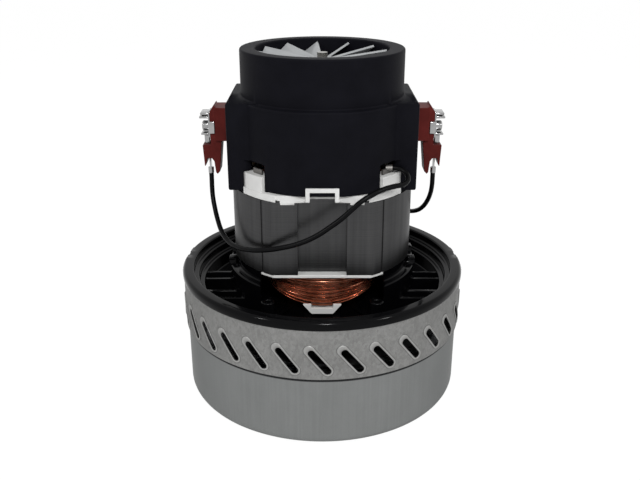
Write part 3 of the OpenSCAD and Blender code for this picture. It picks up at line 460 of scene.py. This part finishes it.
finishes = {
    "canSheet": drawnSheet("canSheet", light=(0.225, 0.232, 0.23), dark=(0.174, 0.18, 0.178)),
    # the last colour is the painted highlight on the tops of the slots' raised borders
    "ringSheet": spangledSheet(
        "ringSheet", light=(0.272, 0.272, 0.266), dark=(0.168, 0.168, 0.164), highlightTone=(0.43, 0.43, 0.42)),
    "glossBlack": mouldedPlastic(
        "glossBlack", (0.0016, 0.0016, 0.002), rough=0.11, grain=700, relief=0.02, shine=0.075),
    "housingBlack": mouldedPlastic(
        "housingBlack", (0.0052, 0.0052, 0.0074), rough=0.52, grain=2600, relief=0.2, shine=0.03),
    "formerWhite": mouldedPlastic(
        "formerWhite", (0.66, 0.66, 0.65), rough=0.42, grain=900, relief=0.05, mottled=0.05, shine=0.2),
    "fanWhite": mouldedPlastic(
        "fanWhite", (0.34, 0.35, 0.356), rough=0.4, grain=900, relief=0.05, mottled=0.04, shine=0.2),
    "holderRed": mouldedPlastic(
        "holderRed", (0.085, 0.0115, 0.0098), rough=0.45, grain=1300, relief=0.14, mottled=0.25, shine=0.06),
    "coreSteel": laminatedSteel("laminatedSteel", dark=(0.038, 0.038, 0.039), light=(0.08, 0.08, 0.081)),
    "copperWire": enamelledCopper("enamelledCopper", dark=(0.38, 0.115, 0.056), light=(0.82, 0.37, 0.235)),
    "tinPlate": plainMetal("tinPlate", (0.38, 0.38, 0.38), rough=0.18),
    "dullTin": plainMetal("dullTin", (0.24, 0.23, 0.22), rough=0.5),
    "brassTube": plainMetal("brassTube", (0.62, 0.42, 0.15), rough=0.32),
    "turnedSteel": plainMetal("turnedSteel", (0.3, 0.29, 0.27), rough=0.26, spread=(1, 1, 12), grain=300),
    "rolledAluminium": plainMetal("rolledAluminium", (0.45, 0.46, 0.47), rough=0.36),
    "brushCarbon": mouldedPlastic("brushCarbon", (0.02, 0.02, 0.021), rough=0.55, grain=1500, relief=0.2),
    "leadRubber": mouldedPlastic(
        "leadRubber", (0.0022, 0.0022, 0.0026), rough=0.3, grain=1200, relief=0.08, shine=0.07),
}

nodeFinishes = {
    "turnedSteel": [
        "motor_bolts", "diffuser_screws", "retainer_screws", "bearing_retainer", "wave_washer", "rotor_shaft",
        "fan_spacer", "impeller_spacer", "bearing_spacer", "clamp_washers", "impeller_nut",
        "lower_bearing_outer", "lower_bearing_inner", "lower_bearing_balls",
        "upper_bearing_outer", "upper_bearing_inner", "upper_bearing_balls"],
    "rolledAluminium": ["first_impeller", "second_impeller", "return_guide", "diffuser_plate"],
    "brassTube": ["brush_tube_left", "brush_tube_right"],
    "brushCarbon": ["brush_left", "brush_right"],
    "dullTin": ["coil_terminals", "supply_terminals"],
    "leadRubber": ["shaft_seal"],
    "coreSteel": ["armature_core"],
    "copperWire": ["armature_winding", "commutator"],
}
for finishName, members in nodeFinishes.items():
    for member in members:
        node = frame["nodes"][member]
        node.data.materials.clear()
        node.data.materials.append(finishes[finishName])
        smooth(node, 30)
print("finishes on the inner nodes")


# Leads: one smooth run from the holder's terminal round the front to the coil's terminal

leads = {
    "diameter": 2.4,
    "length": 0.159,                        # metres, the rest is in millimetres
    "route": [
        (-55.4, 0, 112.5), (-55.4, 0, 109.5), (-55.4, -0.5, 105.5), (-55, -2.2, 100.5),
        (-53.9, -5, 95.5), (-52.3, -9, 91), (-50, -14.5, 87.2), (-46.5, -21, 84.6),
        (-41.5, -28, 84), (-35, -34.5, 85), (-28, -39.5, 86.8), (-19.5, -43.5, 89.5),
        (-10, -46, 93), (-2.5, -47, 97), (3.5, -47, 101.2), (8.5, -46.8, 105),
        (13, -46.2, 109), (17.5, -45.4, 112.8), (22.5, -43.8, 115.5), (27.6, -41.2, 117.1),
        (32.4, -38.4, 117.6), (37.7, -34.8, 117.8), (39.4, -31.4, 119.6), (37.6, -28, 121.8),
        (33.6, -26.4, 122.7), (32.4, -26.4, 122.7)],
}


def makeLead(name, turn, node):             # turn is -1 for the lead that is turned half round
    line = roundWire(name, leads["diameter"], roundness=4)
    line.resolution_u = 8
    route = [(turn * x * mm, turn * y * mm, z * mm) for x, y, z in leads["route"]]
    run = line.splines.new("BEZIER")
    run.bezier_points.add(len(route) - 1)
    for knot, place in zip(run.bezier_points, route):
        knot.co = place
        knot.handle_left_type = knot.handle_right_type = "AUTO"
    lead = placed(name, line)
    finished(lead, finishes["leadRubber"], "motor", "black_rubber", node)


makeLead("leadLeft", 1, "lead_left")
makeLead("leadRight", -1, "lead_right")
print("leads laid")


# Field coils: one wire per coil, wound in layers round the pole

coil = {
    "wire": 0.84,
    "outerRadius": 34.5,
    "layers": [(34.5, 14, 0.78), (33.7, 12, 0.85), (32.9, 11, 0.92)],   # radius, loops, pitch
    "halfWidth": 28.0,
    "corner": 3.0,
    "bend": 0.3,                            # share of a loop's end that each corner takes
    "lowReach": 3.2,
    "topReach": 4.2,
    "sag": 4.2,                             # extra hang of the outermost loop in the middle
    "sagPast": 12,                          # how far past the sides the sag runs out
    "gather": 0.36,                         # how far the loops draw together at the sides
    "tuck": 0.5,                            # share of that which goes inwards
    "coreFrom": 73.4,
    "coreHeight": 36.6,
    "wander": 0.3,
    "ripple": 9,                            # how fast the wander swings along a loop's end
    "steps": 30,
}


def coilEnd(step, share, side, reach):      # one end of a loop, unrolled: across, along
    bend = coil["bend"]
    flat = coil["halfWidth"] - coil["corner"]
    corner = coil["corner"] + step
    base = coil["coreHeight"] / 2 + reach - coil["corner"]
    if bend <= share <= 1 - bend:
        return side * flat * (0.5 - share) / (0.5 - bend), base + corner
    a = min(share, 1 - share) / bend * math.pi / 2
    across = flat + corner * math.cos(a)
    return side * (across if share < bend else -across), base + corner * math.sin(a)


def coilPath(seed):
    dice = random.Random(seed)
    widest = coil["halfWidth"] + coil["sagPast"]
    middle = coil["coreFrom"] + coil["coreHeight"] / 2
    points = []

    def lay(across, along, radius):         # rolls the flat winding round the pole
        a = across / coil["outerRadius"] - math.pi / 2
        points.append((radius * math.cos(a), radius * math.sin(a), middle + along))

    def layEnd(k, way, climb, radius, loops, pitch):
        reach = coil["topReach"] if way > 0 else coil["lowReach"]
        waver = dice.uniform(-1, 1) * coil["wander"]
        lean = dice.uniform(-1, 1) * coil["wander"]
        lift = dice.uniform(0, 1) * coil["wander"]
        for i in range(coil["steps"] + 1):
            share = i / coil["steps"]
            wave = math.sin(share * math.pi)
            step = k * pitch + climb * share
            stray = wave * (waver + lean * math.cos(share * coil["ripple"] + k))
            u, v = coilEnd(step + stray, share, way, reach)
            drawn = step * coil["gather"] * wave * (u / coil["halfWidth"]) ** 2
            v += coil["sag"] * step / (loops * pitch) * (1 - (u / widest) ** 2) - drawn
            lay(u, way * v, radius + wave * lift - drawn * coil["tuck"])

    for depth, (radius, loops, pitch) in enumerate(coil["layers"]):
        outbound = depth % 2 == 0           # every other layer runs back
        for k in range(loops) if outbound else range(loops - 1, -1, -1):
            layEnd(k, -1, 0, radius, loops, pitch)
            layEnd(k, 1, pitch if outbound else -pitch, radius, loops, pitch)
    return points


def makeCoil(name, node, way, seed):        # way is -1 for the coil at the back
    points = [(way * x, way * y, z) for x, y, z in coilPath(seed)]
    wound = wireMesh(name, points, coil["wire"], roundness=1)
    finished(wound, finishes["copperWire"], "motor", "copper", node)


makeCoil("fieldCoilFront", "field_coil_front", way=1, seed=3)
makeCoil("fieldCoilRear", "field_coil_rear", way=-1, seed=7)
print("coils wound")


# Can: a profile in millimetres, turned round the shaft's axis

def turned(name, profile, steps):
    bpy.ops.mesh.primitive_plane_add(size=1)
    work = bpy.context.object
    work.name = name
    edit(work)
    bpy.ops.mesh.select_all(action="SELECT")
    bpy.ops.mesh.merge(type="CENTER")
    leave()
    places = [Vector((r * mm, 0, z * mm)) for r, z in profile]
    work.data.vertices[0].co = places[0]
    edit(work)
    bpy.ops.mesh.select_all(action="SELECT")
    for here, there in zip(places, places[1:]):
        bpy.ops.mesh.extrude_region_move(TRANSFORM_OT_translate={"value": there - here})
    leave()
    screw = work.modifiers.new("turn", "SCREW")
    screw.axis = "Z"
    screw.angle = math.tau
    screw.steps = screw.render_steps = steps
    screw.use_merge_vertices = True
    screw.merge_threshold = 0.01 * mm
    applyModifiers(work)
    outwards(work)
    return work


def rounded(r, z, radius, fromAngle, toAngle, count=8):      # points of an arc round (r, z)
    angles = [math.radians(fromAngle + (toAngle - fromAngle) * i / count) for i in range(count + 1)]
    return [(r + radius * math.cos(a), z + radius * math.sin(a)) for a in angles]


can = {
    "radius": 70.5, "height": 39.0, "sheet": 0.9, "corner": 5.0,
    "eye": 18.2, "lip": 4.6, "eyeBend": 2.4,    # the inlet in the base, with its lip turned in
    "rimEase": 0.2, "lipEase": 0.1,
    "facets": 256,
}


def makeCan():
    r, s, c = can["radius"], can["sheet"], can["corner"]
    e, bend, lip = can["eye"], can["eyeBend"], can["lip"]
    top, side = can["height"], can["height"] - can["rimEase"]
    profile = [(e + s, lip)] + rounded(e + bend, bend, bend - s, 180, 270)
    profile += rounded(r - c, c, c - s, 270, 360)
    profile += [(r - s, side), (r - s / 2, top), (r, side)]
    profile += rounded(r - c, c, c, 360, 270)
    profile += rounded(e + bend, bend, bend, 270, 180) + [(e, lip - can["lipEase"]), (e + s, lip)]
    shell = turned("lowerCan", profile, can["facets"])
    smooth(shell, 40)
    finished(shell, finishes["canSheet"], "motor", "zinc_sheet", "lower_can")


makeCan()
print("can drawn")


# Slotted ring: one flat cell with its raised border, set out thirty times and rolled up

slotRing = {
    "radius": sheets["face"], "from": sheets["seam"], "height": 24.75, "sheet": 0.88,
    "count": 30, "first": -91.0,            # degrees round to the first slot
    "slotLength": 14.9, "slotWidth": 3.4, "lean": 39.0, "rise": 9.1,
    "border": 1.45, "proud": sheets["proud"],
    "hood": 1.6,                            # extra border past a slot's upper end
    "swell": [(0.16, 0.08), (0.24, 0.6), (0.18, 0.28), (0.14, 0.04), (0.28, -0.5)],  # inwards, upwards
    "columns": 14, "rows": 10,
}


def cellFrame(width, shift):                # the outer edges of one cell, with the slot's middle at 0, 0
    s = slotRing
    bpy.ops.mesh.primitive_grid_add(x_subdivisions=s["columns"], y_subdivisions=s["rows"], size=1)
    cell = bpy.context.object
    cell.name = "slottedRing"
    cell.scale = (width * mm, s["height"] * mm, 1)
    cell.location = (shift, (s["height"] / 2 - s["rise"]) * mm, 0)
    settle(cell)
    edit(cell, "FACE")
    bpy.ops.mesh.select_all(action="SELECT")
    bpy.ops.mesh.delete(type="ONLY_FACE")
    leave()
    side, low, high = width / 2 * mm, -s["rise"] * mm, (s["height"] - s["rise"]) * mm
    for v in cell.data.vertices:
        gaps = abs(v.co.x - shift) - side, v.co.y - low, v.co.y - high
        v.select = min(abs(gap) for gap in gaps) > tiny
    edit(cell)
    bpy.ops.mesh.delete(type="VERT")
    leave()
    return cell


def raiseBorder(cell, lean, along):         # a leaning slot inside the frame, in its swelling border
    s = slotRing
    frameEdges = len(cell.data.edges)
    edit(cell)
    bpy.ops.mesh.select_all(action="DESELECT")
    bpy.ops.mesh.primitive_circle_add(
        vertices=frameEdges, radius=(s["slotWidth"] / 2 + s["border"]) * mm, location=(0, 0, 0))
    leave()
    stretch = (s["slotLength"] - s["slotWidth"]) / 2 * mm
    for v in cell.data.vertices:
        if v.select:
            far = stretch + s["hood"] * mm if v.co.y > tiny else -stretch if v.co.y < -tiny else 0
            x, y = v.co.x, v.co.y + far
            v.co.x = x * math.cos(lean) - y * math.sin(lean)
            v.co.y = x * math.sin(lean) + y * math.cos(lean)
    edit(cell, "EDGE")
    bpy.ops.mesh.edge_face_add()
    for share, height in s["swell"]:
        bpy.ops.mesh.inset(thickness=share * s["border"] * mm, depth=height * s["proud"] * mm)
    leave()
    for v in cell.data.vertices:            # the slot stops short of the hood
        if v.select and v.co.dot(along) > 0:
            v.co -= along * s["hood"] * mm
    edit(cell, "FACE")
    bpy.ops.mesh.delete(type="FACE")
    bpy.ops.mesh.select_all(action="DESELECT")
    leave()


def bridgeFace(cell):                       # the flat sheet between the frame and the border's foot
    mesh = cell.data
    uses = {}
    for face in mesh.polygons:
        for key in face.edge_keys:
            uses[key] = uses.get(key, 0) + 1
    for v in mesh.vertices:
        v.select = False
    for e in mesh.edges:
        ends = [mesh.vertices[i] for i in e.vertices]
        foot = uses.get(e.key) == 1 and all(abs(v.co.z) < tiny for v in ends)
        e.select = e.key not in uses or foot
        if e.select:
            for v in ends:
                v.select = True
    edit(cell, "EDGE")
    bpy.ops.mesh.bridge_edge_loops()
    leave()


def rollUp(cell, width):
    s = slotRing
    row = cell.modifiers.new("row", "ARRAY")
    row.count = s["count"]
    row.use_merge_vertices = True
    row.merge_threshold = 0.02 * mm
    row.use_relative_offset = False
    row.use_constant_offset = True
    row.constant_offset_displace = (width * mm, 0, 0)
    applyModifiers(cell)
    for v in cell.data.vertices:
        around = math.radians(s["first"]) + v.co.x / (s["radius"] * mm)
        out = s["radius"] * mm + v.co.z
        v.co = (out * math.cos(around), out * math.sin(around), v.co.y + (s["from"] + s["rise"]) * mm)
    outwards(cell)
    wall = cell.modifiers.new("wall", "SOLIDIFY")
    wall.thickness = s["sheet"] * mm
    wall.offset = -1
    applyModifiers(cell)


def makeRing():
    s = slotRing
    width = math.tau * s["radius"] / s["count"]
    lean = math.radians(s["lean"])
    along = Vector((-math.sin(lean), math.cos(lean), 0))
    cell = cellFrame(width, along.x * s["hood"] / 2 * mm)
    raiseBorder(cell, lean, along)
    bridgeFace(cell)
    rollUp(cell, width)
    smooth(cell, 45)
    finished(cell, finishes["ringSheet"], "motor", "zinc_sheet", "slotted_ring")


makeRing()
print("ring slotted")


# Moulded and pressed pieces keep their drawn shape and get rounded edges

softEdges = {
    # node: piece name, edge radius, finish, slot
    "fan_end_bracket": ("fanEndBracket", 0.85, "glossBlack", "black_gloss"),
    "upper_housing": ("upperHousing", 0.9, "housingBlack", "black_matte"),
    "stator_core": ("statorCore", 0.12, "coreSteel", "lamination"),
    "lower_insulator": ("lowerFormer", 0.25, "formerWhite", "white_plastic"),
    "upper_insulator": ("upperFormer", 0.3, "formerWhite", "white_plastic"),
    "brush_holder_left": ("brushHolderLeft", 0.35, "holderRed", "red_plastic"),
    "brush_holder_right": ("brushHolderRight", 0.35, "holderRed", "red_plastic"),
    "lead_terminal_left": ("leadTerminalLeft", 0.15, "tinPlate", "tin"),
    "lead_terminal_right": ("leadTerminalRight", 0.15, "tinPlate", "tin"),
    "cooling_fan": ("coolingFan", 0.2, "fanWhite", "white_plastic"),
}

rounding = {
    "sharp": 38,                            # degrees between two faces
    "flowing": 35,                          # degrees that a run of edges may turn at one point
    "room": 3,                              # free length at a corner, in edge radii
    "steps": 3,
    "merge": 0.002,
    "normalWeight": 50,
}


def markEdges(piece, radius):               # sharp edges with room for the radius at both ends
    mesh = piece.data
    sides = {}
    for face in mesh.polygons:
        for key in face.edge_keys:
            sides.setdefault(key, []).append(face.normal)
    sharp, ends = [], {}
    for e in mesh.edges:
        pair = sides.get(e.key, [])
        if len(pair) == 2 and pair[0].angle(pair[1], 0) > math.radians(rounding["sharp"]):
            sharp.append(e)
            first, second = e.vertices
            for at, other in ((first, second), (second, first)):
                ends.setdefault(at, []).append(mesh.vertices[other].co - mesh.vertices[at].co)
    crowded = set()
    for at, runs in ends.items():
        flowing = len(runs) == 2 and runs[0].angle(-runs[1], 0) < math.radians(rounding["flowing"])
        if not flowing and min(run.length for run in runs) < rounding["room"] * radius * mm:
            crowded.add(at)
    weight = mesh.attributes.new("bevel_weight_edge", "FLOAT", "EDGE")
    for e in sharp:
        if not crowded.intersection(e.vertices):
            weight.data[e.index].value = 1.0


def softCopy(node, name, radius, finish, slot):
    source = frame["nodes"][node]
    body = source["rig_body"]
    pick(source)
    bpy.ops.object.duplicate()
    piece = bpy.context.object
    piece.name = name
    piece.parent = None
    for key in list(piece.keys()):
        del piece[key]
    merged(piece, rounding["merge"])
    leave()
    markEdges(piece, radius)
    bevel = piece.modifiers.new("edges", "BEVEL")
    bevel.width = radius * mm
    bevel.segments = rounding["steps"]
    bevel.limit_method = "WEIGHT"
    bevel.use_clamp_overlap = False
    applyModifiers(piece)
    smooth(piece, 40)
    flow = piece.modifiers.new("flow", "WEIGHTED_NORMAL")
    flow.mode = "FACE_AREA_WITH_ANGLE"
    flow.weight = rounding["normalWeight"]
    flow.keep_sharp = True
    applyModifiers(piece)
    finished(piece, finishes[finish], body, slot, node)


for node, row in softEdges.items():
    softCopy(node, *row)
print("edges rounded")


# Brush clips: a bent plate with a folded top, a round cap and a foot

clips = {
    "end": 54.2, "height": 138.4,
    "slabs": [
        # from, to, half width, low, high, edge radius; out from the holder's end, up from the brush
        (0, 0.8, 4.8, -6.8, 5.7, 0.2),
        (0.5, 4.6, 4.2, 4.1, 5.2, 0.3),
        (0.5, 5.1, 4.6, 2.5, 3.5, 0.3),
        (3.6, 4.4, 4.2, 2.9, 4.8, 0.2),
        (0.5, 4.6, 4.6, -5.6, -4.7, 0.3),
    ],
    "drums": [
        # from, to, radius, edge radius
        (0.6, 4.3, 2.55, 0.9),
        (0.6, 1.5, 3.0, 0.25),
    ],
    "drumHeight": -1.9, "drumFacets": 48, "drumSteps": 5,
    "tabs": (-2.4, 0.8, 5.05, 5.85, -4.8, 1.2, 0.38),   # from, to, near, far, low, high, edge radius
}


def eased(item, radius, steps=3):           # rounded edges on a fresh block
    settle(item)
    bevel = item.modifiers.new("edges", "BEVEL")
    bevel.width = radius * mm
    bevel.segments = steps
    bevel.limit_method = "ANGLE"
    applyModifiers(item)
    return item


def slab(low, high, radius):                # block between two corners in millimetres
    pick()
    bpy.ops.mesh.primitive_cube_add(size=1)
    block = bpy.context.object
    block.scale = [(b - a) * mm for a, b in zip(low, high)]
    block.location = [(a + b) / 2 * mm for a, b in zip(low, high)]
    return eased(block, radius)


def makeClip(name, way, node):              # way is -1 for the left one, turned half round
    c = clips
    end, height = c["end"], c["height"]
    items = [slab((end + a, -half, height + low), (end + b, half, height + high), edge)
             for a, b, half, low, high, edge in c["slabs"]]
    a, b, near, far, low, high, edge = c["tabs"]
    items += [slab((end + a, near, height + low), (end + b, far, height + high), edge),
              slab((end + a, -far, height + low), (end + b, -near, height + high), edge)]
    for a, b, radius, edge in c["drums"]:
        pick()
        bpy.ops.mesh.primitive_cylinder_add(
            vertices=c["drumFacets"], radius=radius * mm, depth=(b - a) * mm, rotation=(0, math.pi / 2, 0),
            location=((end + (a + b) / 2) * mm, 0, (height + c["drumHeight"]) * mm))
        items.append(eased(bpy.context.object, edge, c["drumSteps"]))
    clip = joined(name, items)
    if way < 0:
        clip.rotation_euler = (0, 0, math.pi)
        settle(clip)
    smooth(clip, 40)
    finished(clip, finishes["tinPlate"], "motor", "tin", node)


makeClip("brushClipLeft", -1, "brush_clip_left")
makeClip("brushClipRight", 1, "brush_clip_right")
print("clips bent")


# Brush springs: round wire curls running out to the clip's end

springs = {
    "from": 34.3, "to": clips["end"], "height": clips["height"],
    "radius": 2.4, "wire": 0.6, "curls": 7, "curlSteps": 20, "keep": 0.6,
}


def makeSpring(name, way, node):     # way is -1 for the left one, turned half round
    s = springs
    count = s["curls"] * s["curlSteps"]
    path = [(s["from"], s["radius"], 0)]
    for i in range(count + 1):
        a = math.tau * s["curls"] * i / count
        x = s["from"] + s["wire"] + (s["to"] - s["from"] - 2 * s["wire"]) * i / count
        path.append((x, s["radius"] * math.cos(a), s["radius"] * math.sin(a)))
    path.append((s["to"], s["radius"], 0))
    points = [(way * x, way * y, s["height"] + z) for x, y, z in path]
    spring = wireMesh(name, points, s["wire"], roundness=2)
    finished(spring, finishes["turnedSteel"], "motor", "steel", node)
    way * s["to"] * mm
    s["height"] * mm
    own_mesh(spring)


makeSpring("brushSpringLeft", -1, "brush_spring_left")
makeSpring("brushSpringRight", 1, "brush_spring_right")
print("springs curled")

pick()
